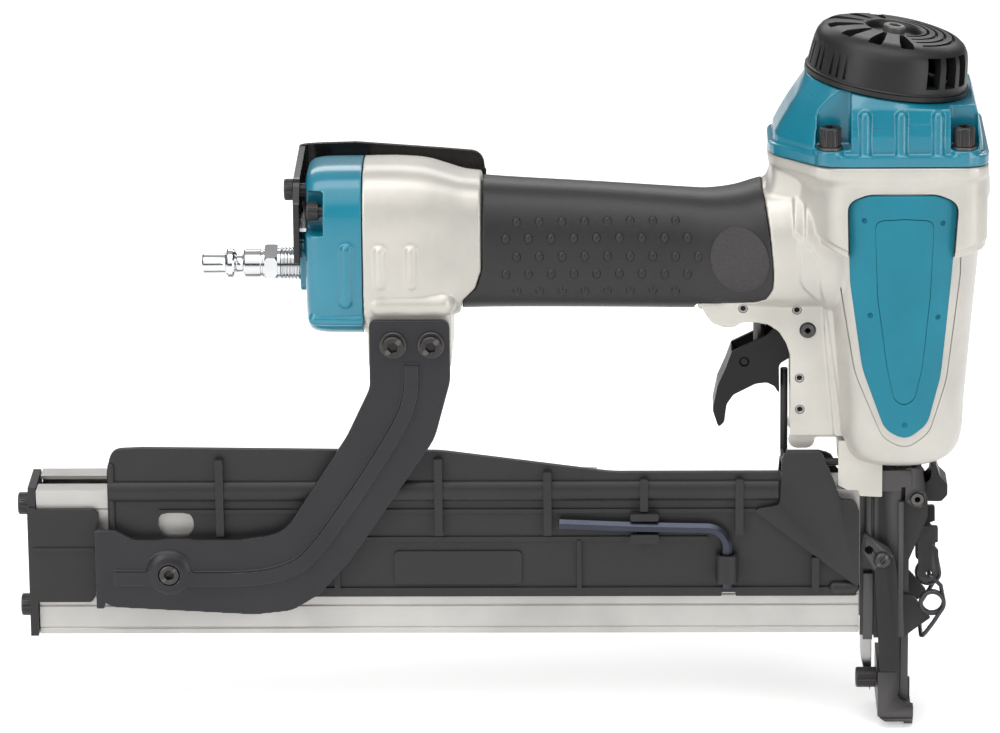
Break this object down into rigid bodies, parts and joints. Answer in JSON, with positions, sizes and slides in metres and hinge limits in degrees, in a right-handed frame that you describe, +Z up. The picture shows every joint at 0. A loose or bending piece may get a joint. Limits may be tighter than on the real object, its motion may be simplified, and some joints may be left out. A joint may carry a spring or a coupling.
{
  "type": "pneumatic flooring stapler",
  "caption": "Air-driven nailer for flooring staples: handle with trigger, cylinder head with turning exhaust cover, long side-guarded magazine and hinged nose with a safety foot.",
  "frame": {"origin": "middle of the contact foot's front lip, on the face that presses on the floor", "axes": "+X forward past the nose, +Z up along the driver, +Y to the operator's right, away from the side with the hex key"},
  "size_m": [0.3873, 0.0772, 0.2883],
  "materials": {
    "cast_silver": "satin painted casting",
    "teal_paint": "semi-gloss painted casting",
    "teal_rubber": "matte",
    "black_rubber": "matte, textured",
    "black_plastic": "fine moulded grain",
    "black_steel": "satin black coating",
    "trigger_black": "satin black coating",
    "tool_steel": "blued",
    "fastener_steel": "black oxide",
    "bright_steel": "ground",
    "spring_steel": "oiled wire",
    "aluminium": "anodised",
    "chrome": "polished plate",
    "brass": "machined"
  },
  "bodies": {
    "frame": {"main_housing": "cast_silver", "cylinder_head": "teal_paint", "rear_cap": "teal_paint", "side_pad_near": "teal_rubber", "side_pad_far": "teal_rubber", "grip_sleeve": "black_rubber", "bumper": "black_rubber", "magazine_cover_near": "black_plastic", "magazine_cover_far": "black_plastic", "magazine_end_cap": "black_plastic", "hanging_hook": "black_steel", "strap_bracket": "black_steel", "front_bracket_near": "black_steel", "front_bracket_far": "black_steel", "nose_block": "black_steel", "hex_key": "tool_steel", "head_bolt_near_rear": "fastener_steel", "head_bolt_near_front": "fastener_steel", "head_bolt_far_rear": "fastener_steel", "head_bolt_far_front": "fastener_steel", "exhaust_cover_bolt": "fastener_steel", "strap_bolt_rear": "fastener_steel", "strap_bolt_front": "fastener_steel", "strap_pin": "fastener_steel", "rear_cap_bolt_near": "fastener_steel", "rear_cap_bolt_far": "fastener_steel", "hook_bolt": "fastener_steel", "end_bolt_upper": "fastener_steel", "end_bolt_lower": "fastener_steel", "trigger_pin": "fastener_steel", "staple_core": "bright_steel", "door_pin": "fastener_steel", "magazine_body": "aluminium", "cylinder_sleeve": "aluminium", "air_plug": "chrome", "valve_body": "brass"},
    "exhaust_cover": {"exhaust_cover": "black_plastic"},
    "trigger": {"trigger": "trigger_black", "idler_lever": "fastener_steel", "lever_pin": "fastener_steel"},
    "valve": {"valve_stem": "fastener_steel"},
    "contact": {"contact_foot": "black_steel", "foot_bracket": "bright_steel", "contact_arm": "black_steel", "contact_rod": "black_steel", "contact_screw": "fastener_steel", "foot_screw": "fastener_steel"},
    "driver": {"piston": "aluminium", "driver_blade": "bright_steel"},
    "head_valve": {"head_valve": "black_rubber"},
    "pusher": {"pusher": "bright_steel", "pusher_spring": "spring_steel"},
    "door": {"front_door": "black_steel"},
    "latch_lever": {"latch_lever": "black_steel"},
    "latch_wire": {"latch_wire": "spring_steel"}
  },
  "joints": [
    {"name": "exhaust_cover_turn", "type": "hinge", "parent": "frame", "child": "exhaust_cover", "pos_m": [-0.01044, 0, 0.26439], "axis": [0.1564, 0, 0.9877], "continuous": true},
    {"name": "trigger_pull", "type": "hinge", "parent": "frame", "child": "trigger", "pos_m": [-0.041, 0, 0.166], "axis": [0, 1, 0], "range_deg": [0, 8], "stiffness_Nm_per_rad": 0.6, "springref_deg": -20.05},
    {"name": "valve_stem_slide", "type": "slide", "parent": "frame", "child": "valve", "axis": [0, 0, 1], "range_m": [0, 0.00275]},
    {"name": "contact_slide", "type": "slide", "parent": "frame", "child": "contact", "axis": [0, 0, 1], "range_m": [0, 0.007], "stiffness_N_per_m": 400, "springref_m": -0.01},
    {"name": "driver_stroke", "type": "slide", "parent": "frame", "child": "driver", "axis": [0, 0, -1], "range_m": [0, 0.088]},
    {"name": "head_valve_lift", "type": "slide", "parent": "frame", "child": "head_valve", "axis": [0, 0, 1], "range_m": [0, 0.002], "stiffness_N_per_m": 500, "springref_m": -0.003},
    {"name": "pusher_slide", "type": "slide", "parent": "frame", "child": "pusher", "axis": [-1, 0, 0], "range_m": [0, 0.25], "stiffness_N_per_m": 15, "springref_m": -0.5},
    {"name": "door_swing", "type": "hinge", "parent": "frame", "child": "door", "pos_m": [0.003, 0, 0.096], "axis": [0, -1, 0], "range_deg": [0, 70]},
    {"name": "latch_lever_turn", "type": "hinge", "parent": "frame", "child": "latch_lever", "pos_m": [0.003, 0, 0.096], "axis": [0, 1, 0], "range_deg": [0, 20]},
    {"name": "latch_wire_swing", "type": "hinge", "parent": "door", "child": "latch_wire", "pos_m": [0.008, 0, 0.064], "axis": [0, -1, 0], "range_deg": [0, 60]}
  ],
  "couplings": [
    {"joint": "valve_stem_slide", "follows": "trigger_pull", "m_per_rad": 0.019}
  ]
}
